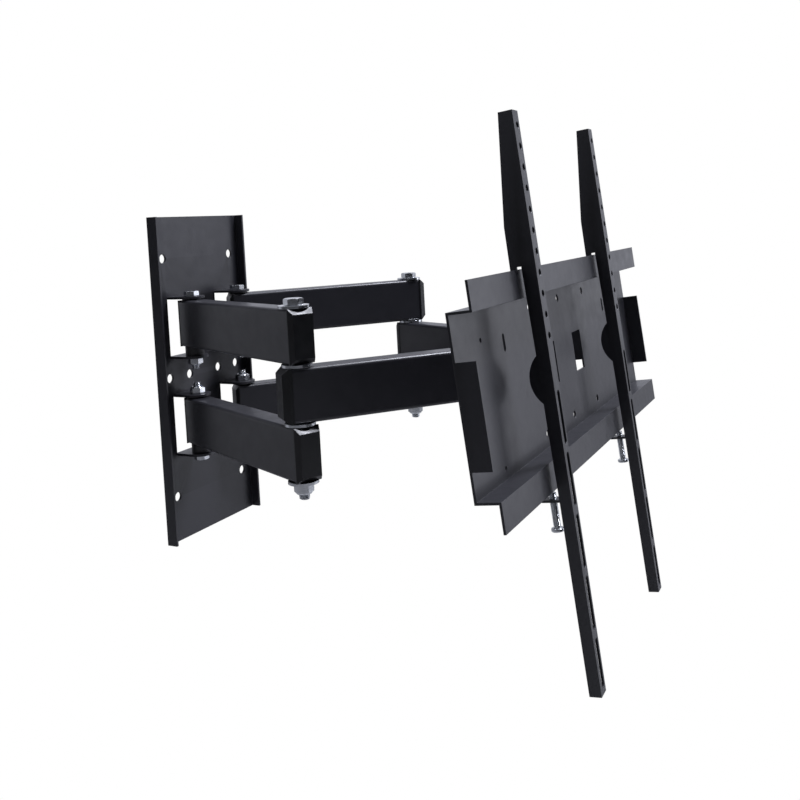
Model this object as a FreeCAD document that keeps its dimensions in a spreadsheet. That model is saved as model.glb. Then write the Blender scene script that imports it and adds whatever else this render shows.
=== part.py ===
import FreeCAD, Part
import math
import os

V = FreeCAD.Vector
Rot = FreeCAD.Rotation
doc = FreeCAD.newDocument("tv_mount")

# ---------------------------------------------------------------- dimensions
# All lengths in millimetres, all angles in degrees.
DIMS = [
    ("plate_top", 210.0), ("plate_low", 214.0), ("plate_width", 182.0), ("plate_t", 3.0), ("plate_lip", 15.0),
    ("wall_hole_x", 69.0), ("wall_hole_z", 156.0), ("wall_hole_mid", 30.0), ("wall_hole_d", 12.0),
    ("pivot_x", 48.5), ("pivot_y", 29.0), ("lug_w", 34.0), ("lug_t", 3.0),
    ("arm_len", 261.0), ("rear_angle", 26.0), ("front_angle", 49.8),
    ("tube_h", 60.0), ("tube_w", 30.0), ("tube_wall", 2.5), ("tube_r", 4.0),
    ("front_mid", 7.0), ("arm_gap", 3.8), ("lug_gap", 2.0), ("lug_drop", 12.5),
    ("end_wall", 8.0), ("end_out", 10.0), ("cap_wall", 5.0), ("cap_rear", 9.0),
    ("cap_front", 11.0), ("cap_side", 0.5), ("cap_bevel", 7.0),
    ("shaft_small", 10.0), ("shaft_large", 12.0), ("fit", 0.08),
    ("washer_d", 34.0), ("washer_t", 3.0),
    ("head_web", 21.0), ("head_half", 81.0), ("head_t", 3.0),
    ("tilt_x", 72.0), ("tilt_y", 36.5), ("tilt_z", 17.4), ("tilt_rest", -6.4), ("ear_t", 3.0), ("ear_half", 19.5),
    ("screen_y", 510.0), ("tv_half", 318.5), ("tv_web_half", 88.0), ("tv_lip", 27.0),
    ("tv_depth", 24.0), ("tv_t", 2.5), ("flange_top", 42.0), ("flange_bottom", -58.0),
    ("flange_back", 3.5),
    ("rail_top", 277.0), ("rail_bottom", -328.0), ("rail_face", 17.0), ("rail_front", 17.0),
    ("rail_t", 2.5), ("rail_left_u", -169.0), ("rail_right_u", 115.0), ("hole_pitch", 21.8),
    ("rail_hole_d", 7.5), ("slot_top", -13.0), ("slot_pitch", 64.3), ("slot_len", 56.0), ("tab_v", -127.0),
    ("screw_d", 8.0),
]
sheet = doc.addObject("Spreadsheet::Sheet", "dims")
for row, (alias, value) in enumerate(DIMS, start=1):
    sheet.set("A%d" % row, alias)
    sheet.set("B%d" % row, "%g" % value)
    sheet.setAlias("B%d" % row, alias)
doc.recompute()
D = {alias: float(sheet.get(alias)) for alias, _ in DIMS}


def cell(name):
    return "<<dims>>." + name


# ---------------------------------------------------------------- drawing helpers
def polygon(points):
    pts = [V(x, y, 0) for x, y in points]
    return [Part.LineSegment(a, b) for a, b in zip(pts, pts[1:] + pts[:1])]


def rect(x0, y0, x1, y1):
    return polygon([(x0, y0), (x1, y0), (x1, y1), (x0, y1)])


def circle(x, y, r):
    return [Part.Circle(V(x, y, 0), V(0, 0, 1), r)]


def arc(cx, cy, r, a0, a1):
    base = Part.Circle(V(cx, cy, 0), V(0, 0, 1), r)
    return Part.ArcOfCircle(base, math.radians(a0), math.radians(a1))


def line(x0, y0, x1, y1):
    return Part.LineSegment(V(x0, y0, 0), V(x1, y1, 0))


def rounded(x0, y0, x1, y1, r):
    return [line(x0 + r, y0, x1 - r, y0), arc(x1 - r, y0 + r, r, 270, 360),
            line(x1, y0 + r, x1, y1 - r), arc(x1 - r, y1 - r, r, 0, 90),
            line(x1 - r, y1, x0 + r, y1), arc(x0 + r, y1 - r, r, 90, 180),
            line(x0, y1 - r, x0, y0 + r), arc(x0 + r, y0 + r, r, 180, 270)]


def slot(x, y0, y1, r):
    """Round-ended slot running along the second sketch axis."""
    return [line(x + r, y0 + r, x + r, y1 - r), arc(x, y1 - r, r, 0, 180),
            line(x - r, y1 - r, x - r, y0 + r), arc(x, y0 + r, r, 180, 360)]


# ---------------------------------------------------------------- body helpers
SUBPARTS = []


def new_body(label):
    body = doc.addObject("PartDesign::Body", label)
    body.Label = label
    SUBPARTS.append(body)
    return body


def sketch(body, role, loops, offset=0.0):
    plane = [f for f in body.Origin.OriginFeatures if f.Role == role][0]
    sk = body.newObject("Sketcher::SketchObject", body.Name + "_sk")
    sk.AttachmentSupport = [(plane, "")]
    sk.MapMode = "FlatFace"
    sk.AttachmentOffset = FreeCAD.Placement(V(0, 0, offset), Rot())
    for loop in loops:
        sk.addGeometry(loop, False)
    doc.recompute()
    return sk


def pad(body, role, loops, length, offset=0.0):
    """Add material from a sketch; length is a number or a spreadsheet expression."""
    feature = body.newObject("PartDesign::Pad", body.Name + "_pad")
    feature.Profile = sketch(body, role, loops, offset)
    if isinstance(length, str):
        feature.setExpression("Length", length)
    else:
        feature.Length = length
    doc.recompute()
    return feature


def pocket(body, role, loops, offset, length=1000.0):
    """Remove material below a sketch that sits clear of the part."""
    before = body.Shape.Volume
    feature = body.newObject("PartDesign::Pocket", body.Name + "_cut")
    feature.Profile = sketch(body, role, loops, offset)
    feature.Length = length
    doc.recompute()
    if body.Shape.Volume > before - 1e-3:
        raise RuntimeError("cut removed nothing in " + body.Name)
    return feature


def place(body, x=0.0, y=0.0, z=0.0, rotation=None):
    body.Placement = FreeCAD.Placement(V(x, y, z), rotation or Rot())


# ---------------------------------------------------------------- derived positions
def heading(angle):
    """Unit vector for an arm turned by angle from straight out of the wall."""
    a = math.radians(angle)
    return V(math.sin(a), -math.cos(a), 0)


L = D["arm_len"]
PIVOT = {"left": V(-D["pivot_x"], -D["pivot_y"], 0), "right": V(D["pivot_x"], -D["pivot_y"], 0)}
REAR = {"left": -D["rear_angle"], "right": D["front_angle"]}
FRONT = {"left": D["front_angle"], "right": -D["rear_angle"]}
ELBOW = {s: PIVOT[s] + heading(REAR[s]) * L for s in PIVOT}
WRIST = {s: ELBOW[s] + heading(FRONT[s]) * L for s in PIVOT}
HEAD_X = (WRIST["left"].x + WRIST["right"].x) / 2.0
WRIST_Y = WRIST["left"].y

H = D["tube_h"]
UP_LO = D["front_mid"] + H / 2 + D["arm_gap"]
UP_HI = UP_LO + H
LOW_HI = D["front_mid"] - H / 2 - D["arm_gap"]
LOW_LO = LOW_HI - H
GAP = D["lug_gap"]
LT = D["lug_t"]
# Underside of each lug, from top to bottom of the wall plate. Each arm hangs close under
# its upper lug and stands on a spacer above its lower lug.
DROP = D["lug_drop"]
LUGS_Z = [UP_HI + GAP, UP_LO - DROP - LT, LOW_HI + GAP, LOW_LO - DROP - LT]


# ---------------------------------------------------------------- wall plate
def make_wall_plate():
    b = new_body("wall_plate")
    w, top, low = D["plate_width"] / 2, D["plate_top"], D["plate_low"]
    loops = [rect(-w, -low, w, top)]
    half = D["lug_w"] / 2
    for side in (-1, 1):
        cx = side * D["pivot_x"]
        loops.append(rect(cx - half, LUGS_Z[1] + LT, cx + half, LUGS_Z[0]))
        loops.append(rect(cx - half, LUGS_Z[3] + LT, cx + half, LUGS_Z[2]))
        for z in (D["wall_hole_z"], 0.0, -D["wall_hole_z"]):
            loops.append(circle(side * D["wall_hole_x"], z, D["wall_hole_d"] / 2))
        loops.append(circle(side * D["wall_hole_mid"], 0.0, D["wall_hole_d"] / 2))
    pad(b, "XZ_Plane", loops, cell("plate_t"))
    t = D["plate_t"]
    for side in (-1, 1):
        x0, x1 = sorted((side * w, side * (w - t)))
        lip = rect(x0, -D["plate_lip"], x1, 0)
        pad(b, "XY_Plane", [lip], cell("plate_top") + " + " + cell("plate_low"), -low)
        cx = side * D["pivot_x"]
        for z in LUGS_Z:
            y = -D["pivot_y"]
            outline = [line(cx - half, 0, cx - half, y), arc(cx, y, half, 180, 360),
                       line(cx + half, y, cx + half, 0), line(cx + half, 0, cx - half, 0)]
            hole = circle(cx, y, D["shaft_small"] / 2 + D["fit"])
            pad(b, "XY_Plane", [outline, hole], cell("lug_t"), z)


# ---------------------------------------------------------------- arms
def make_arm(label, start, angle, z_low, near_d, far_d, near_end, far_end):
    """Rectangular tube running from its first pivot along the second axis of its own frame."""
    b = new_body(label)
    w, r, t = D["tube_w"] / 2, D["tube_r"], D["tube_wall"]
    profile = [rounded(-w, 0, w, H, r), rounded(-w + t, t, w - t, H - t, r - t)]
    # the front plane looks along -Y, so the tube grows away from the wall
    feature = pad(b, "XZ_Plane", profile, L + near_end + far_end, -near_end)
    feature.setExpression("Length", cell("arm_len") + " + %g" % (near_end + far_end))
    holes = [circle(0, 0, near_d / 2), circle(0, -L, far_d / 2)]
    pocket(b, "XY_Plane", holes, H + 5.0)
    place(b, start.x, start.y, z_low, Rot(V(0, 0, 1), angle))


def cap_solid(reach, sink):
    """Moulded plug pointing along +Y from its seam: straight band, bevelled nose, inner tongue."""
    w, side = D["tube_w"] / 2, D["cap_side"]
    band, z0, z1 = max(reach - D["cap_bevel"], 1.0), 0.05, H - 0.05
    outer = Part.makeBox(2 * (w + side), band, z1 - z0, V(-w - side, 0, z0))
    nose = Part.makeWedge(-w - side, band, z0, z0 + 6.0, -w - side + 3.2,
                          w + side, reach, z1, z1 - 6.0, w + side - 3.2)
    wall = D["tube_wall"] + 0.05
    tongue = Part.makeBox(2 * (w - wall), sink, H - 2 * wall, V(-w + wall, -sink, wall))
    tongue = tongue.makeFillet(1.4, [e for e in tongue.Edges if e.BoundBox.YLength > sink - 1])
    return outer.fuse(nose).fuse(tongue).removeSplitter()


def cap_group(label, spots):
    """Group of end plugs; a spot is pivot, arm angle, level, arm position, direction, reach."""
    shapes = []
    for pivot, angle, z_low, y_end, out, reach in spots:
        cap = cap_solid(reach, 14.0)
        if out < 0:
            cap.rotate(V(0, 0, 0), V(0, 0, 1), 180)
        cap.translate(V(0, y_end, 0))
        # the tongue is scooped out round the pivot sleeve
        near = 0.0 if out > 0 else -L
        cap = cap.cut(Part.makeCylinder(9.4, H + 4, V(0, near, -2)))
        cap.Placement = FreeCAD.Placement(V(pivot.x, pivot.y, z_low), Rot(V(0, 0, 1), angle))
        shapes.append(cap)
    group(label, shapes)


# ---------------------------------------------------------------- hardware
def hex_solid(across_flats, height, z, bore=0.0):
    r = across_flats / math.sqrt(3.0)
    pts = [V(r * math.cos(math.radians(60 * i)), r * math.sin(math.radians(60 * i)), z)
           for i in range(7)]
    solid = Part.Face(Part.makePolygon(pts)).extrude(V(0, 0, height))
    cone = Part.makeCone(r * 0.93, r * 0.93 + height * 3.0, height * 3.0 / 1.7, V(0, 0, z))
    low = Part.makeCone(r * 0.93 + height * 3.0, r * 0.93, height * 3.0 / 1.7,
                        V(0, 0, z + height - height * 3.0 / 1.7))
    solid = solid.common(cone).common(low)
    if bore:
        solid = solid.cut(Part.makeCylinder(bore, height + 2, V(0, 0, z - 1)))
    return solid


def bolt_solid(d, grip_lo, grip_hi, across_flats, head_h, tail):
    """Hex bolt pointing down: head sits on grip_hi, the tail shows below grip_lo."""
    head = hex_solid(across_flats, head_h, grip_hi)
    shank = Part.makeCylinder(d / 2, grip_hi - grip_lo + tail + 0.2, V(0, 0, grip_lo - tail))
    edges = [e for e in shank.Edges if abs(e.BoundBox.ZMax - (grip_lo - tail)) < 1e-6]
    shank = shank.makeChamfer(0.9, edges[:1])
    return head.fuse(shank).removeSplitter()


def lock_nut_solid(across_flats, height, z_top, bore):
    """Nut with a domed collar, hanging below z_top."""
    body = hex_solid(across_flats, height * 0.72, z_top - height * 0.72, bore)
    collar = Part.makeCone(across_flats * 0.40, across_flats * 0.47, height * 0.28 + 0.3,
                           V(0, 0, z_top - height))
    collar = collar.cut(Part.makeCylinder(bore, height, V(0, 0, z_top - height - 1)))
    return body.fuse(collar).removeSplitter()


def washer_solid(d, bore, t, z):
    ring = Part.makeCylinder(d / 2, t, V(0, 0, z))
    return ring.cut(Part.makeCylinder(bore, t + 2, V(0, 0, z - 1)))


def sleeve_solid(outer, bore, z0, z1):
    tube = Part.makeCylinder(outer, z1 - z0, V(0, 0, z0))
    return tube.cut(Part.makeCylinder(bore, z1 - z0 + 2, V(0, 0, z0 - 1)))


def moved(shape, x, y, z=0.0, rotation=None):
    copy = shape.copy()
    copy.Placement = FreeCAD.Placement(V(x, y, z), rotation or Rot())
    return copy


def group(label, shapes):
    obj = doc.addObject("Part::Feature", label)
    obj.Label = label
    obj.Shape = shapes[0] if len(shapes) == 1 else Part.makeCompound(shapes)
    SUBPARTS.append(obj)
    return obj


FLIP = Rot(V(1, 0, 0), 180)


def make_shoulder_hardware():
    r = D["shaft_small"] / 2
    bolts, nuts, shims = [], [], []
    for side in ("left", "right"):
        p = PIVOT[side]
        lo, hi = LUGS_Z[1], LUGS_Z[0] + LT
        bolts.append(moved(bolt_solid(2 * r, lo, hi, 17.0, 6.6, 15.0), p.x, p.y))
        nuts.append(moved(lock_nut_solid(17.0, 9.5, lo, r), p.x, p.y))
        # the lower pair is fitted upside down, heads below
        lo2, hi2 = LUGS_Z[3], LUGS_Z[2] + LT
        bolt = bolt_solid(2 * r, -hi2, -lo2, 17.0, 6.6, 15.0)
        bolts.append(moved(bolt, p.x, p.y, 0, FLIP))
        nuts.append(moved(lock_nut_solid(17.0, 9.5, -hi2, r), p.x, p.y, 0, FLIP))
        for z, gap in ((UP_HI, GAP), (UP_LO - DROP, DROP), (LOW_HI, GAP), (LOW_LO - DROP, DROP)):
            shims.append(moved(washer_solid(24.0, r + D["fit"], gap - 0.3, z + 0.15), p.x, p.y))
    group("shoulder_bolts", bolts)
    group("shoulder_nuts", nuts)
    group("shoulder_shims", shims)


def make_elbow_hardware(side):
    p = ELBOW[side]
    r = D["shaft_large"] / 2
    wt = D["washer_t"]
    bolt = bolt_solid(2 * r, LOW_LO - wt, UP_HI + wt, 19.0, 7.5, 18.0)
    group("elbow_bolt_" + side, [moved(bolt, p.x, p.y)])
    group("elbow_nut_" + side, [moved(lock_nut_solid(19.0, 12.0, LOW_LO - wt, r), p.x, p.y)])
    gap_t = D["arm_gap"] - 0.8
    zs = [(UP_HI, wt), (UP_LO - D["arm_gap"] + 0.4, gap_t), (LOW_HI + 0.4, gap_t), (LOW_LO - wt, wt)]
    rings = [moved(washer_solid(D["washer_d"], r + D["fit"], t, z), p.x, p.y) for z, t in zs]
    group("elbow_washers_" + side, rings)


def arm_sleeve(x, y, z0, z1, bore):
    return moved(sleeve_solid(bore + 2.5, bore + D["fit"], z0 + 0.05, z1 - 0.05), x, y)


def make_sleeves(side):
    small, large = D["shaft_small"] / 2, D["shaft_large"] / 2
    s, e, w = PIVOT[side], ELBOW[side], WRIST[side]
    rear = []
    for lo, hi in ((UP_LO, UP_HI), (LOW_LO, LOW_HI)):
        rear.append(arm_sleeve(s.x, s.y, lo, hi, small))
        rear.append(arm_sleeve(e.x, e.y, lo, hi, large))
    group("rear_sleeves_" + side, rear)
    lo, hi = D["front_mid"] - H / 2, D["front_mid"] + H / 2
    wrist_bore = small + (0.0 if side == "left" else 0.35)
    front = [arm_sleeve(e.x, e.y, lo, hi, large), arm_sleeve(w.x, w.y, lo, hi, wrist_bore)]
    group("front_sleeves_" + side, front)


def make_arms(side):
    small, large = D["shaft_small"] + 5.1, D["shaft_large"] + 5.1
    ew, eo = D["end_wall"], D["end_out"]
    p, e = PIVOT[side], ELBOW[side]
    for name, z in (("upper", UP_LO), ("lower", LOW_LO)):
        make_arm("rear_arm_%s_%s" % (name, side), p, REAR[side], z, small, large, ew, eo)
    z_front = D["front_mid"] - H / 2
    wrist = small if side == "left" else small + 0.7
    make_arm("front_arm_" + side, e, FRONT[side], z_front, large, wrist, eo, ew)
    rear = []
    for z in (UP_LO, LOW_LO):
        rear.append((p, REAR[side], z, ew, 1, D["cap_wall"]))
        rear.append((p, REAR[side], z, -L - eo, -1, D["cap_rear"]))
    cap_group("rear_caps_" + side, rear)
    cap_group("front_caps_" + side, [(e, FRONT[side], z_front, eo, 1, D["cap_front"]),
                                     (e, FRONT[side], z_front, -L - ew, -1, D["cap_wall"])])


# ---------------------------------------------------------------- head bracket
HEAD_LO = D["front_mid"] - H / 2 - GAP - LT
HEAD_HI = D["front_mid"] + H / 2 + GAP


def make_head_bracket():
    b = new_body("head_bracket")
    hw, t, depth = D["head_half"], D["head_t"], D["head_web"]
    half = D["lug_w"] / 2
    z0, z1 = HEAD_LO, HEAD_HI + LT
    window = [rect(-14, 0, 14, 20)]
    pad(b, "XZ_Plane", [rect(-hw, z0, hw, z1)] + window, cell("head_t"), depth)
    for side in (-1, 1):
        cx = side * D["pivot_x"]
        for z in (HEAD_LO, HEAD_HI):
            outline = [line(cx + half, -depth - 1, cx + half, 0), arc(cx, 0, half, 0, 180),
                       line(cx - half, 0, cx - half, -depth - 1),
                       line(cx - half, -depth - 1, cx + half, -depth - 1)]
            hole = circle(cx, 0, D["shaft_small"] / 2 + D["fit"])
            pad(b, "XY_Plane", [outline, hole], cell("lug_t"), z)
        # ears that carry the tilt pivot, in the plane of the side edges
        zt, yt, root = D["tilt_z"], -D["tilt_y"], -depth - 1
        ear = [line(root, zt + 16, yt, zt + 10), arc(yt, zt, 10, 90, 270),
               line(yt, zt - 10, root, zt - 16), line(root, zt - 16, root, zt + 16)]
        x0 = hw - t if side > 0 else -hw
        pad(b, "YZ_Plane", [ear, circle(yt, zt, 4.08)], cell("head_t"), x0)
    place(b, HEAD_X, WRIST_Y, 0)


def make_wrist_hardware():
    r = D["shaft_small"] / 2
    bolts, nuts, shims = [], [], []
    for side in ("left", "right"):
        p = WRIST[side]
        lo, hi = HEAD_LO, HEAD_HI + LT
        bolts.append(moved(bolt_solid(2 * r, lo, hi, 17.0, 6.6, 15.5), p.x, p.y))
        nuts.append(moved(lock_nut_solid(17.0, 9.5, lo, r), p.x, p.y))
        for z in (D["front_mid"] + H / 2, D["front_mid"] - H / 2 - GAP):
            shims.append(moved(washer_solid(26.0, r + D["fit"], GAP - 0.3, z + 0.15), p.x, p.y))
    group("wrist_bolts", bolts)
    group("wrist_nuts", nuts)
    group("wrist_shims", shims)


def make_tilt_hardware():
    """Cross bolts of the tilt hinge: head outside the bracket ear, nut inside the screen ear."""
    bolts, nuts, rings = [], [], []
    y, z = WRIST_Y - D["tilt_y"], D["tilt_z"]
    ear_in, ear_out = D["tilt_x"], D["tilt_x"] + D["ear_t"]
    head_in, head_out = D["head_half"] - D["head_t"], D["head_half"]
    for side in (-1, 1):
        turn = Rot(V(0, 1, 0), 90 * side)
        bolt = bolt_solid(8.0, ear_in, head_out + 1.6, 13.0, 5.3, 12.0)
        bolts.append(moved(bolt, HEAD_X, y, z, turn))
        nuts.append(moved(lock_nut_solid(13.0, 8.0, ear_in, 4.0), HEAD_X, y, z, turn))
        friction = washer_solid(19.0, 4.08, head_in - ear_out - 0.4, ear_out + 0.2)
        rings.append(moved(friction, HEAD_X, y, z, turn))
        rings.append(moved(washer_solid(17.0, 4.08, 1.2, head_out + 0.2), HEAD_X, y, z, turn))
    group("tilt_bolts", bolts)
    group("tilt_nuts", nuts)
    group("tilt_washers", rings)


# ---------------------------------------------------------------- screen plate and rails
# The tilting parts are drawn in the screen frame: x across, y out of the wall side,
# z up the plate, origin in the lip plane at mid height.
TILT = Rot(V(1, 0, 0), D["tilt_rest"])
SCREEN = V(HEAD_X, -D["screen_y"], D["tilt_z"])


def on_screen(body):
    body.Placement = FreeCAD.Placement(SCREEN, TILT)


def make_tv_plate():
    b = new_body("tv_plate")
    u, v, t, depth = D["tv_half"], D["tv_web_half"], D["tv_t"], D["tv_depth"]
    loops = [rect(-u, -v, u, v)]
    for side in (-1, 1):
        x0, x1 = sorted((side * 36.0, side * 70.0))
        loops.append(rect(x0, -24.5, x1, 24.0))
        loops.append(slot(side * 193.0, 34.0, 53.0, 3.0))
        loops.append(circle(side * 253.0, 54.0, 2.5))
        loops.append(circle(side * 238.0, -75.0, 2.5))
        for z in (-71.0, 71.0):
            loops.append(circle(side * 104.0, z, 4.5))
    for z in (-71.0, 71.0):
        loops.append(circle(0, z, 4.5))
    pad(b, "XZ_Plane", loops, cell("tv_t"), -depth - t)
    for side in (-1, 1):
        z0 = v - t if side > 0 else -v
        pad(b, "XY_Plane", [rect(-u, 0, u, depth + t)], cell("tv_t"), z0)
        lip = rect(-u, v - t, u, v + D["tv_lip"]) if side > 0 else rect(-u, -v - D["tv_lip"], u, -v + t)
        pad(b, "XZ_Plane", [lip], cell("tv_t"), -t)
        x0 = u - t if side > 0 else -u
        edge = rect(D["flange_back"], D["flange_bottom"], depth + t, D["flange_top"])
        pad(b, "YZ_Plane", [edge], cell("tv_t"), x0)
    on_screen(b)


def make_tilt_ears():
    """Two welded ears on the back of the screen plate with the tilt pivot holes."""
    b = new_body("tilt_ears")
    back = D["tv_depth"] + D["tv_t"]
    # pivot position seen from the screen frame
    world = V(0, WRIST_Y - D["tilt_y"] - SCREEN.y, D["tilt_z"] - SCREEN.z)
    p = TILT.inverted().multVec(world)
    half, et = D["ear_half"], D["ear_t"]
    nose = arc(p.y, p.z, 9.5, -50, 50)
    low, high = nose.StartPoint, nose.EndPoint
    square = back + 18.6
    for side in (-1, 1):
        x0 = D["tilt_x"] if side > 0 else -D["tilt_x"] - et
        ear = [line(back, p.z - half, square, p.z - half), line(square, p.z - half, low.x, low.y),
               nose, line(high.x, high.y, square, p.z + half),
               line(square, p.z + half, back, p.z + half), line(back, p.z + half, back, p.z - half)]
        pad(b, "YZ_Plane", [ear, circle(p.y, p.z, 4.08)], cell("ear_t"), x0)
        # weld flange against the plate
        f0, f1 = sorted((side * D["tilt_x"], side * (D["tilt_x"] + 16)))
        pad(b, "XZ_Plane", [rect(f0, p.z - half, f1, p.z + half)], cell("ear_t"), -back - et)
    on_screen(b)


def rail_profile():
    """Side view of a rail web: hook over the top lip, bulge at mid height, plain lower leg."""
    f = -D["rail_front"]
    bulge_r, bulge_c = 33.9, -25.9
    top_a = math.degrees(math.atan2(25.0, 22.9))
    bulge = arc(bulge_c, 0, bulge_r, -top_a, top_a)
    start = bulge.StartPoint
    end = bulge.EndPoint
    hook = [line(f, D["rail_top"], -1.7, D["rail_top"]), line(-1.7, D["rail_top"], 10.5, 160),
            line(10.5, 160, 11, 98), line(11, 98, 3.6, 98), line(3.6, 98, 3.6, 117.5),
            line(3.6, 117.5, -1.5, 117.5), line(-1.5, 117.5, end.x, end.y)]
    lower = [line(start.x, start.y, -4, D["tab_v"]), line(-4, D["tab_v"], -4, D["rail_bottom"]),
             line(-4, D["rail_bottom"], f, D["rail_bottom"]), line(f, D["rail_bottom"], f, D["rail_top"])]
    return hook + [bulge] + lower


def make_rail(label, u):
    b = new_body(label)
    w, t, f = D["rail_face"], D["rail_t"], D["rail_front"]
    # web on the left edge of the face
    pad(b, "YZ_Plane", [rail_profile()], cell("rail_t"), u - 10.0)
    x0, x1 = u - 10.0, u - 10.0 + w
    loops = [rect(x0, D["rail_bottom"], x1, D["rail_top"])]
    top = D["rail_top"] - 15.5
    for i in range(11):
        loops.append(circle(u, top - i * D["hole_pitch"], D["rail_hole_d"] / 2))
    for i in range(5):
        z1 = D["slot_top"] - i * D["slot_pitch"]
        z0 = max(z1 - D["slot_len"], D["rail_bottom"] + 6.0)
        loops.append(slot(u, z0, z1, D["rail_hole_d"] / 2))
    pad(b, "XZ_Plane", loops, cell("rail_t"), f - t)
    # tab under the lower lip with the tapped hole of the lock screw
    tab = rect(x0, -5.0, x0 + 15.0, 15.0)
    hole = circle(u - 2.5, 5.0, D["screw_d"] / 2 + 0.05)
    pad(b, "XY_Plane", [tab, hole], 2.5, D["tab_v"])
    on_screen(b)


def make_lock_screw(label, u):
    """Thumb-tightened screw that closes the rail onto the lower lip."""
    tip, head = D["tab_v"] + 9.0, D["tab_v"] - 28.0
    shaft = Part.makeCylinder(D["screw_d"] / 2, tip - head, V(u - 2.5, 5.0, head))
    shaft = shaft.makeChamfer(0.8, [e for e in shaft.Edges if e.BoundBox.ZMin > tip - 1e-6][:1])
    disc = Part.makeCylinder(6.8, 3.5, V(u - 2.5, 5.0, head - 3.5))
    disc = disc.cut(hex_solid(5.0, 2.4, 0).translated(V(u - 2.5, 5.0, head - 3.6)))
    obj = group(label, [shaft.fuse(disc).removeSplitter()])
    on_screen(obj)


# ---------------------------------------------------------------- build everything
make_wall_plate()
make_shoulder_hardware()
for name in ("left", "right"):
    make_arms(name)
    make_sleeves(name)
    make_elbow_hardware(name)
make_head_bracket()
make_wrist_hardware()
make_tilt_hardware()
make_tv_plate()
make_tilt_ears()
for name, pos in (("rail_left", D["rail_left_u"]), ("rail_right", D["rail_right_u"])):
    make_rail(name, pos)
    make_lock_screw(name.replace("rail", "lock_screw"), pos)
doc.recompute()

for obj in doc.Objects:
    if "Invalid" in obj.State or "Error" in obj.State:
        raise RuntimeError("bad feature " + obj.Name)
os.makedirs("parts", exist_ok=True)
for part in SUBPARTS:
    shape = part.Shape
    if shape.isNull() or not shape.isValid() or shape.Volume <= 0:
        raise RuntimeError("bad shape " + part.Label)
    shape.exportStep("parts/%s.step" % part.Label)
    print(part.Label, len(shape.Solids), round(shape.Volume), shape.BoundBox)
print("head x %.3f wrist y %.3f" % (HEAD_X, WRIST_Y))
for key in ("left", "right"):
    print(key, PIVOT[key], ELBOW[key], WRIST[key])
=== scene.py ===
import math

import bpy
from mathutils import Matrix, Vector


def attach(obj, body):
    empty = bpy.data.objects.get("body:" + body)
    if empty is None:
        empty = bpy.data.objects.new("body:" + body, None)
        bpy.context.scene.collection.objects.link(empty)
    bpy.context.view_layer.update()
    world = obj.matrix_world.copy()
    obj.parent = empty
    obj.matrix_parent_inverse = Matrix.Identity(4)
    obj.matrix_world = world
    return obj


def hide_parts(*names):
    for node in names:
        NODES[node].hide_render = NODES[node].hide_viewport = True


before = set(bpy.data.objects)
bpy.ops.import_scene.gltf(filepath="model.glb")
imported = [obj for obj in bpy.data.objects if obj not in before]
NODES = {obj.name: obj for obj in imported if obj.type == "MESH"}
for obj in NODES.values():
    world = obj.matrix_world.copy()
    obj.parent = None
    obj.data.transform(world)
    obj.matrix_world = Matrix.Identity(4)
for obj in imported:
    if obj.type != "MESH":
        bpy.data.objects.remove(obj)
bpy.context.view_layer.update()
MM = 0.001

# ---------------------------------------------------------------- layout, as in the design (mm)
ARM = 261.0
REAR_ANGLE, FRONT_ANGLE = 26.0, 49.8
TUBE_H, FRONT_MID, ARM_GAP, LUG_GAP, LUG_DROP, LUG_T = 60.0, 7.0, 3.8, 2.0, 12.5, 3.0
WASHER_T = 3.0
HEAD_HALF, TILT_X, TILT_BACK, TILT_Z = 81.0, 72.0, 36.5, 17.4
SCREEN_Y, TILT_REST = 510.0, math.radians(-6.4)
RAIL_U = {"left": -169.0, "right": 115.0}
TAB_V = -127.0


def heading(degrees):
    a = math.radians(degrees)
    return Vector((math.sin(a), -math.cos(a), 0.0))


PIVOT = {"left": Vector((-48.5, -29.0, 0.0)), "right": Vector((48.5, -29.0, 0.0))}
REAR = {"left": -REAR_ANGLE, "right": FRONT_ANGLE}
FRONT = {"left": FRONT_ANGLE, "right": -REAR_ANGLE}
ELBOW = {s: PIVOT[s] + heading(REAR[s]) * ARM for s in PIVOT}
WRIST = {s: ELBOW[s] + heading(FRONT[s]) * ARM for s in PIVOT}
HEAD_X = (WRIST["left"].x + WRIST["right"].x) / 2.0
WRIST_Y = WRIST["left"].y
UP_LO = FRONT_MID + TUBE_H / 2 + ARM_GAP
UP_HI = UP_LO + TUBE_H
LOW_HI = FRONT_MID - TUBE_H / 2 - ARM_GAP
LOW_LO = LOW_HI - TUBE_H


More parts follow.
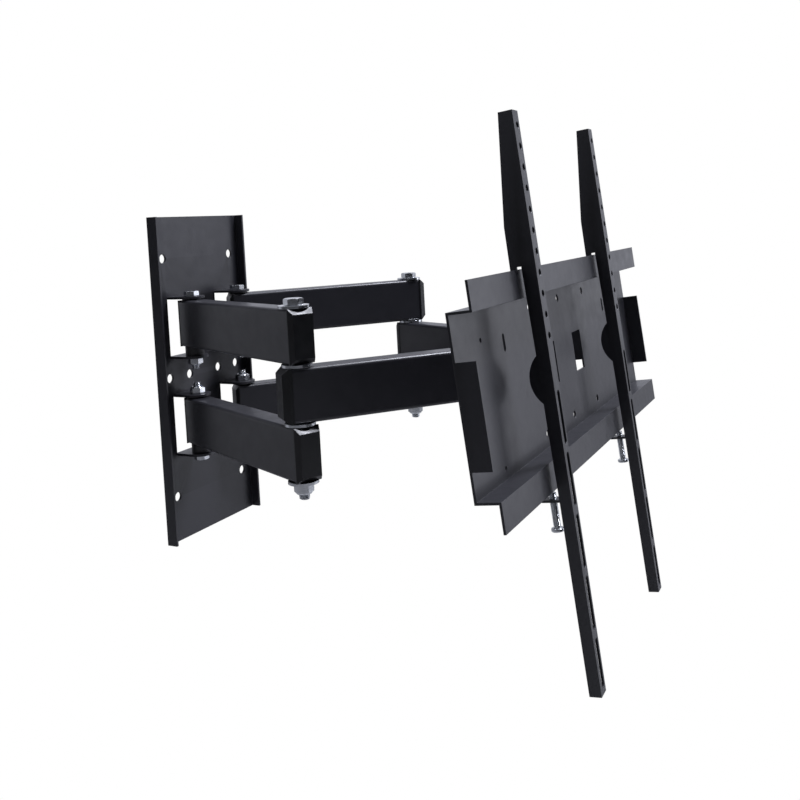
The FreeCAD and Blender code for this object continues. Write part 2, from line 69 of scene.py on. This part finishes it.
# ---------------------------------------------------------------- node helpers
class Nodes:
    """Small wrapper that keeps material code short."""

    def __init__(self, name):
        self.mat = bpy.data.materials.new(name)
        self.mat.use_nodes = True
        self.tree = self.mat.node_tree
        self.bsdf = self.tree.nodes["Principled BSDF"]
        coord = self.tree.nodes.new("ShaderNodeTexCoord")
        self.coord = coord.outputs["Object"]

    def noise(self, scale, detail=4.0, rough=0.55, stretch=None):
        source = self.coord
        if stretch:
            mapping = self.tree.nodes.new("ShaderNodeMapping")
            mapping.inputs["Scale"].default_value = stretch
            self.link(self.coord, mapping.inputs["Vector"])
            source = mapping.outputs["Vector"]
        node = self.tree.nodes.new("ShaderNodeTexNoise")
        node.inputs["Scale"].default_value = scale
        node.inputs["Detail"].default_value = detail
        node.inputs["Roughness"].default_value = rough
        self.link(source, node.inputs["Vector"])
        return node.outputs["Fac"]

    def ramp(self, fac, stops):
        node = self.tree.nodes.new("ShaderNodeValToRGB")
        while len(node.color_ramp.elements) < len(stops):
            node.color_ramp.elements.new(0.5)
        for element, (pos, colour) in zip(node.color_ramp.elements, stops):
            element.position = pos
            element.color = (*colour, 1.0)
        self.link(fac, node.inputs["Fac"])
        return node.outputs["Color"]

    def span(self, fac, low, high, start=0.0, end=1.0):
        node = self.tree.nodes.new("ShaderNodeMapRange")
        node.inputs["From Min"].default_value = start
        node.inputs["From Max"].default_value = end
        node.inputs["To Min"].default_value = low
        node.inputs["To Max"].default_value = high
        self.link(fac, node.inputs["Value"])
        return node.outputs["Result"]

    def edge(self, low, high):
        geometry = self.tree.nodes.new("ShaderNodeNewGeometry")
        return self.span(geometry.outputs["Pointiness"], 0.0, 1.0, low, high)

    def mix(self, fac, a, b):
        node = self.tree.nodes.new("ShaderNodeMix")
        node.data_type = "RGBA"
        self.link(fac, node.inputs["Factor"])
        self.link(a, node.inputs[6])
        if isinstance(b, tuple):
            node.inputs[7].default_value = (*b, 1.0)
        else:
            self.link(b, node.inputs[7])
        return node.outputs[2]

    def bump(self, height, strength, distance, below=None):
        node = self.tree.nodes.new("ShaderNodeBump")
        node.inputs["Strength"].default_value = strength
        node.inputs["Distance"].default_value = distance
        self.link(height, node.inputs["Height"])
        if below:
            self.link(below, node.inputs["Normal"])
        return node.outputs["Normal"]

    def soft_edge(self, radius):
        node = self.tree.nodes.new("ShaderNodeBevel")
        node.samples = 6
        node.inputs["Radius"].default_value = radius
        return node.outputs["Normal"]

    def link(self, a, b):
        self.tree.links.new(a, b)

    def put(self, name, value):
        socket = self.bsdf.inputs[name]
        if isinstance(value, (int, float)):
            socket.default_value = value
        elif isinstance(value, tuple):
            socket.default_value = (*value, 1.0)
        else:
            self.link(value, socket)


def powder_coat(name, tone):
    """Satin black powder coat: fine orange peel, slight tone drift, paler edges that are partly wear and
    partly a painted edge highlight.
    """
    n = Nodes(name)
    drift = n.noise(14.0, 3.0)
    low = tuple(c * 0.75 for c in tone)
    high = tuple(c * 1.35 for c in tone)
    base = n.ramp(drift, [(0.3, low), (0.7, high)])
    # painted edge highlight: sharp edges get a paler base colour, standing in partly for edge wear and
    # partly for light caught on the edges
    base = n.mix(n.edge(0.52, 0.60), base, tuple(c * 4.0 for c in tone))
    n.put("Base Color", base)
    n.put("Roughness", n.span(n.noise(55.0, 5.0), 0.30, 0.40, 0.3, 0.7))
    n.put("Specular IOR Level", 0.5)
    soft = n.soft_edge(0.8 * MM)
    peel = n.bump(n.noise(700.0, 2.0), 0.16, 0.2 * MM, soft)
    n.put("Normal", n.bump(n.noise(2600.0, 2.0), 0.12, 0.06 * MM, peel))
    return n.mat


def cap_plastic():
    """Black moulded plastic with a fine spark-eroded grain."""
    n = Nodes("cap_plastic_detail")
    low, high = (0.0045, 0.0048, 0.0055), (0.009, 0.0095, 0.011)
    n.put("Base Color", n.ramp(n.noise(30.0, 4.0), [(0.3, low), (0.7, high)]))
    n.put("Roughness", n.span(n.noise(90.0, 4.0), 0.30, 0.46, 0.3, 0.7))
    soft = n.soft_edge(0.5 * MM)
    n.put("Normal", n.bump(n.noise(1900.0, 3.0), 0.25, 0.08 * MM, soft))
    return n.mat


def zinc_plate():
    """Bright zinc with cloudy passivation and fine turning scratches."""
    n = Nodes("zinc_detail")
    cloud = n.noise(160.0, 4.0)
    cool, bright, warm = (0.60, 0.62, 0.65), (0.72, 0.74, 0.76), (0.76, 0.75, 0.72)
    tint = n.ramp(cloud, [(0.25, cool), (0.55, bright), (0.8, warm)])
    n.put("Base Color", tint)
    n.put("Metallic", 1.0)
    n.put("Roughness", n.span(n.noise(220.0, 3.0), 0.16, 0.26, 0.3, 0.7))
    soft = n.soft_edge(0.25 * MM)
    scratches = n.noise(500.0, 3.0, 0.6, (1.0, 1.0, 9.0))
    n.put("Normal", n.bump(scratches, 0.05, 0.03 * MM, soft))
    return n.mat


def plain_plastic(name, colour, rough):
    """Plain moulded plastic with a faint surface grain."""
    n = Nodes(name)
    darker = tuple(c * 0.85 for c in colour)
    n.put("Base Color", n.ramp(n.noise(200.0, 3.0), [(0.3, darker), (0.7, colour)]))
    n.put("Roughness", rough)
    n.put("Normal", n.bump(n.noise(1500.0, 2.0), 0.1, 0.05 * MM))
    return n.mat


COAT = powder_coat("powder_coat_detail", (0.0060, 0.0060, 0.0072))
CAP = cap_plastic()
ZINC = zinc_plate()
BUSH = plain_plastic("bush_detail", (0.03, 0.03, 0.032), 0.45)
INSERT = plain_plastic("nylon_insert", (0.16, 0.22, 0.34), 0.4)


def material_for(node):
    """Material of a whole CAD node, chosen by the words in its name."""
    if "caps" in node:
        return CAP
    if "sleeves" in node or "shims" in node:
        return BUSH
    if any(word in node for word in ("bolt", "nut", "washers", "screw")):
        return ZINC
    return COAT


for node_name, obj in NODES.items():
    obj.data.materials.clear()
    obj.data.materials.append(material_for(node_name))


# ---------------------------------------------------------------- turned and threaded pieces
SIDES = 48
THETA = [2 * math.pi * i / SIDES for i in range(SIDES)]
CORNER_DROP = 0.62
THREAD_DEPTH = 0.52
STEPS_PER_PITCH = 8
SHARP_ANGLE = math.radians(32)


def hex_radius(theta, across_flats):
    """Distance from the axis to the side of a hexagon in direction theta."""
    third = math.pi / 3
    return across_flats / 2 / math.cos((theta % third) - third / 2)


def ring(radius, z):
    return [(radius, z)] * SIDES


def hex_ring(across_flats, z, chamfer):
    """Six-sided ring at z whose corners dip for chamfer 1, rise for -1 and stay level for 0."""
    inner = across_flats / 2
    row = []
    for theta in THETA:
        r = hex_radius(theta, across_flats)
        row.append((r, z - chamfer * (r - inner) * CORNER_DROP))
    return row


def thread_rings(radius, pitch, z_top, z_bottom):
    """Rings of a real helical thread that fades in at z_top and tapers at z_bottom."""
    steps = max(2, int((z_top - z_bottom) / pitch * STEPS_PER_PITCH))
    depth = pitch * THREAD_DEPTH
    rings = []
    for k in range(steps + 1):
        z = z_top + (z_bottom - z_top) * k / steps
        fade = min(1.0, k / 6.0)
        taper = max(0.0, 1.0 - (z - z_bottom) / pitch)
        row = []
        for theta in THETA:
            phase = (z / pitch - theta / (2 * math.pi)) % 1.0
            tooth = abs(2.0 * phase - 1.0)
            tooth = min(1.0, max(0.0, (tooth - 0.12) / 0.76))
            row.append((radius - fade * depth * tooth - taper * depth * 0.7, z))
        rings.append(row)
    return rings


def lathe(name, rings, matrix, material, closed=False):
    """Skin the rings in order; closed joins the last ring to the first, otherwise both ends are capped."""
    verts, faces = [], []
    for row in rings:
        for theta, (r, z) in zip(THETA, row):
            point = Vector((r * math.cos(theta), r * math.sin(theta), z))
            verts.append((matrix @ point) * MM)
    count = len(rings)
    last = count if closed else count - 1
    for k in range(last):
        a, b = k * SIDES, ((k + 1) % count) * SIDES
        for i in range(SIDES):
            j = (i + 1) % SIDES
            faces.append((a + i, b + i, b + j, a + j))
    if not closed:
        faces.append(tuple(range(SIDES)))
        faces.append(tuple(reversed(range((count - 1) * SIDES, count * SIDES))))
    mesh = bpy.data.meshes.new(name)
    mesh.from_pydata(verts, [], faces)
    mesh.validate()
    mesh.shade_smooth()
    mesh.set_sharp_from_angle(angle=SHARP_ANGLE)
    mesh.materials.append(material)
    obj = bpy.data.objects.new(name, mesh)
    bpy.context.collection.objects.link(obj)
    return obj


def hex_bolt(name, matrix, d, lo, hi, across_flats, head_h, tail, pitch):
    """Hex bolt with a chamfered head on hi and a real thread down to lo - tail."""
    top = hi + head_h
    inner = across_flats / 2
    rings = [ring(inner * 0.55, top - 0.25), ring(inner * 0.62, top), ring(inner * 0.97, top),
             hex_ring(across_flats, top - 0.05, 1.0), hex_ring(across_flats, hi + 0.5, 0.0),
             ring(inner * 0.98, hi + 0.45), ring(inner * 0.96, hi), ring(d / 2, hi)]
    thread_top = lo + 9.0
    rings.append(ring(d / 2, thread_top + 0.4))
    rings += thread_rings(d / 2 - 0.02, pitch, thread_top, lo - tail)
    rings.append(ring(d / 2 * 0.55, lo - tail))
    return lathe(name, rings, matrix, ZINC)


def lock_nut(name, matrix, across_flats, height, z_top, bore):
    """Lock nut hanging below z_top: hexagon, rolled collar and nylon ring."""
    inner = across_flats / 2
    z_hex = z_top - height * 0.84
    z_end = z_top - height
    rings = [ring(bore, z_top - 0.6), ring(bore + 0.7, z_top), ring(inner * 0.95, z_top),
             hex_ring(across_flats, z_top - 0.05, 1.0), hex_ring(across_flats, z_hex + 0.05, -1.0),
             ring(inner * 0.965, z_hex), ring(inner * 0.94, z_hex - 0.3)]
    for k in range(6):
        a = math.pi / 2 * k / 5
        rim = inner * (0.94 - 0.13 * (1 - math.cos(a)))
        rings.append(ring(rim, z_hex - 0.3 + (z_end + 0.1 - z_hex + 0.3) * math.sin(a)))
    rings += [ring(inner * 0.74, z_end), ring(inner * 0.71, z_end + 0.5), ring(bore, z_end + 0.6)]
    nut = lathe(name, rings, matrix, ZINC, closed=True)
    z_ins = z_end + 0.35
    insert = [ring(bore - 0.15, z_ins), ring(inner * 0.715, z_ins), ring(inner * 0.715, z_ins + 1.6),
              ring(bore - 0.15, z_ins + 1.6)]
    collar = lathe(name + "_insert", insert, matrix, INSERT, closed=True)
    return nut, collar


def at(x, y, z=0.0):
    return Matrix.Translation((x, y, z))


FLIP = Matrix.Rotation(math.pi, 4, "X")


# thread diameter: across flats, head height, pitch, nut height
FASTENERS = {8.0: (13.0, 5.3, 1.25, 8.0), 10.0: (17.0, 6.6, 1.5, 9.5), 12.0: (19.0, 7.5, 1.75, 12.0)}
# how far each thread end stands past its nut seat
SHOULDER_TAIL, ELBOW_TAIL, WRIST_TAIL, TILT_TAIL = 15.0, 18.0, 15.5, 12.0
TILT_WASHER = 1.6


def bolt_set(body, bolt_node, nut_node, index, matrix, thread, lo, hi, tail):
    """Bolt with its head seat on hi and its lock nut seat on lo, in place of the plain CAD solids."""
    flats, head_h, pitch, nut_h = FASTENERS[thread]
    bolt = hex_bolt("%s_%d" % (bolt_node, index), matrix, thread, lo, hi, flats, head_h, tail, pitch)
    nut, insert = lock_nut("%s_%d" % (nut_node, index), matrix, flats, nut_h, lo, thread / 2)
    for obj in (bolt, nut, insert):
        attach(obj, body)
    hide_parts(bolt_node)
    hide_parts(nut_node)


for index, side in ((0, "left"), (2, "right")):
    p, e, w = PIVOT[side], ELBOW[side], WRIST[side]
    lo, hi = UP_LO - LUG_DROP - LUG_T, UP_HI + LUG_GAP + LUG_T
    bolt_set("wall", "shoulder_bolts", "shoulder_nuts", index, at(p.x, p.y), 10.0, lo, hi, SHOULDER_TAIL)
    lo, hi = LOW_LO - LUG_DROP - LUG_T, LOW_HI + LUG_GAP + LUG_T
    bolt_set("wall", "shoulder_bolts", "shoulder_nuts", index + 1, at(p.x, p.y) @ FLIP,
             10.0, -hi, -lo, SHOULDER_TAIL)
    bolt_set("rear_" + side, "elbow_bolt_" + side, "elbow_nut_" + side, 0, at(e.x, e.y),
             12.0, LOW_LO - WASHER_T, UP_HI + WASHER_T, ELBOW_TAIL)
    lo = FRONT_MID - TUBE_H / 2 - LUG_GAP - LUG_T
    hi = FRONT_MID + TUBE_H / 2 + LUG_GAP + LUG_T
    bolt_set("head", "wrist_bolts", "wrist_nuts", index, at(w.x, w.y), 10.0, lo, hi, WRIST_TAIL)
    turn = Matrix.Rotation(math.radians(90 if side == "right" else -90), 4, "Y")
    spot = at(HEAD_X, WRIST_Y - TILT_BACK, TILT_Z) @ turn
    bolt_set("head", "tilt_bolts", "tilt_nuts", index, spot, 8.0, TILT_X, HEAD_HALF + TILT_WASHER, TILT_TAIL)

# ---------------------------------------------------------------- lock screws
SCREEN = at(HEAD_X, -SCREEN_Y, TILT_Z) @ Matrix.Rotation(TILT_REST, 4, "X")
SCREW_R, SCREW_PITCH, SCREW_SIDE, SCREW_BACK = 3.98, 1.25, -2.5, 5.0
SCREW_TIP, SCREW_HEAD = TAB_V + 9.0, TAB_V - 28.0
# radius and height from the underside of the head, with the recess last
SCREW_HEAD_PROFILE = ((3.5, 0.9), (6.2, 0.0), (6.7, -0.3), (6.8, -0.9), (6.8, -2.9),
                      (6.3, -3.5), (3.0, -3.5), (2.7, -3.4), (2.6, -1.6))

for side, u in RAIL_U.items():
    rings = [ring(3.1, SCREW_TIP), ring(3.3, SCREW_TIP - 0.3)]
    rings += thread_rings(SCREW_R, SCREW_PITCH, SCREW_TIP - 0.5, SCREW_HEAD + 1.2)
    rings += [ring(r, SCREW_HEAD + z) for r, z in SCREW_HEAD_PROFILE]
    spot = SCREEN @ at(u + SCREW_SIDE, SCREW_BACK)
    screw = lathe("lock_screw_thread_" + side, rings, spot, ZINC)
    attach(screw, "clamp_" + side)
    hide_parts("lock_screw_" + side)


# ---------------------------------------------------------------- studio
DAYLIGHT = (0.88, 0.90, 1.0)
WHITE = (1.0, 1.0, 1.0, 1.0)
CENTRE = (0.05, -0.28, 0.0)
NEAR_ELBOW = (-0.17, -0.28, 0.06)
FLOOR_Z, FLOOR_HALF = -0.62, 9.0
# the backdrop glows in the direction the camera looks, the room behind the camera stays dark
LOOKING = (0.888, 0.456, -0.052)
ROOM_GLOW, BACKDROP_GLOW = 0.04, 0.75


def area(name, location, target, size, power):
    """Rectangular daylight panel aimed at a target."""
    light = bpy.data.lights.new(name, "AREA")
    light.shape = "RECTANGLE"
    light.size, light.size_y = size
    light.energy = power
    light.color = DAYLIGHT
    obj = bpy.data.objects.new(name, light)
    obj.location = location
    obj.rotation_euler = (Vector(target) - Vector(location)).to_track_quat("-Z", "Y").to_euler()
    bpy.context.collection.objects.link(obj)


area("right_panel", (2.4, -0.8, 0.15), CENTRE, (0.9, 1.4), 1.0)
area("front_panel", (1.8, -2.1, 0.1), (0.0, 0.0, 0.1), (1.3, 1.5), 11.0)
area("wall_side_panel", (-0.55, 1.9, -0.05), CENTRE, (1.5, 1.0), 1.2)
area("left_panel", (-2.2, 0.35, 1.0), CENTRE, (1.0, 1.1), 1.7)
area("top_panel", (0.0, -0.3, 1.75), (0.0, -0.3, 0.0), (2.2, 1.8), 20.0)
area("edge_panel", (0.75, -1.1, 2.05), NEAR_ELBOW, (0.7, 0.7), 75.0)

corners = [(-FLOOR_HALF, -FLOOR_HALF), (FLOOR_HALF, -FLOOR_HALF),
           (FLOOR_HALF, FLOOR_HALF), (-FLOOR_HALF, FLOOR_HALF)]
floor_mesh = bpy.data.meshes.new("floor")
floor_mesh.from_pydata([(x, y, FLOOR_Z) for x, y in corners], [], [(0, 1, 2, 3)])
floor = bpy.data.objects.new("floor", floor_mesh)
bpy.context.collection.objects.link(floor)
pale = Nodes("pale_floor")
pale.put("Base Color", (0.4, 0.4, 0.4))
pale.put("Roughness", 0.9)
seamless = pale.tree.nodes.new("ShaderNodeEmission")
seamless.inputs["Color"].default_value = WHITE
seamless.inputs["Strength"].default_value = 1.0
looked_at = pale.tree.nodes.new("ShaderNodeLightPath")
chosen = pale.tree.nodes.new("ShaderNodeMixShader")
pale.link(looked_at.outputs["Is Camera Ray"], chosen.inputs["Fac"])
pale.link(pale.bsdf.outputs["BSDF"], chosen.inputs[1])
pale.link(seamless.outputs["Emission"], chosen.inputs[2])
pale.link(chosen.outputs["Shader"], pale.tree.nodes["Material Output"].inputs["Surface"])
floor_mesh.materials.append(pale.mat)

world = bpy.data.worlds.new("studio")
bpy.context.scene.world = world
world.use_nodes = True
tree = world.node_tree
back = tree.nodes["Background"]
back.inputs["Color"].default_value = (*DAYLIGHT, 1.0)
sight = tree.nodes.new("ShaderNodeTexCoord")
facing = tree.nodes.new("ShaderNodeVectorMath")
facing.operation = "DOT_PRODUCT"
facing.inputs[1].default_value = LOOKING
tree.links.new(sight.outputs["Generated"], facing.inputs[0])
glow = tree.nodes.new("ShaderNodeMapRange")
glow.inputs["From Min"].default_value = 0.1
glow.inputs["From Max"].default_value = 0.9
glow.inputs["To Min"].default_value = ROOM_GLOW
glow.inputs["To Max"].default_value = BACKDROP_GLOW
tree.links.new(facing.outputs["Value"], glow.inputs["Value"])
tree.links.new(glow.outputs["Result"], back.inputs["Strength"])
# camera rays see plain white instead
seen = tree.nodes.new("ShaderNodeBackground")
seen.inputs["Color"].default_value = WHITE
seen.inputs["Strength"].default_value = 1.0
path = tree.nodes.new("ShaderNodeLightPath")
blend = tree.nodes.new("ShaderNodeMixShader")
tree.links.new(path.outputs["Is Camera Ray"], blend.inputs["Fac"])
tree.links.new(back.outputs["Background"], blend.inputs[1])
tree.links.new(seen.outputs["Background"], blend.inputs[2])
tree.links.new(blend.outputs["Shader"], tree.nodes["World Output"].inputs["Surface"])

# ---------------------------------------------------------------- camera
CAMERA_SPOT = (-0.9863, -0.8171, 0.1832)
LENS, SENSOR, SHIFT_Y = 41.38, 36.0, -0.158
az, el, roll = math.radians(-62.82), math.radians(3.01), math.radians(-3.04)
backward = Vector((math.sin(az) * math.cos(el), -math.cos(az) * math.cos(el), math.sin(el)))
right = Vector((math.cos(az), math.sin(az), 0.0))
up = backward.cross(right)
right_r = right * math.cos(roll) + up * math.sin(roll)
up_r = up * math.cos(roll) - right * math.sin(roll)
cam_data = bpy.data.cameras.new("camera")
cam_data.lens = LENS
cam_data.sensor_width = SENSOR
cam_data.shift_y = SHIFT_Y
cam_data.dof.use_dof = False
cam_data.clip_end = 50.0
camera = bpy.data.objects.new("camera", cam_data)
basis = Matrix((right_r, up_r, backward)).transposed().to_4x4()
camera.matrix_world = Matrix.Translation(CAMERA_SPOT) @ basis
bpy.context.collection.objects.link(camera)
bpy.context.scene.camera = camera
bpy.context.scene.view_settings.view_transform = "Standard"
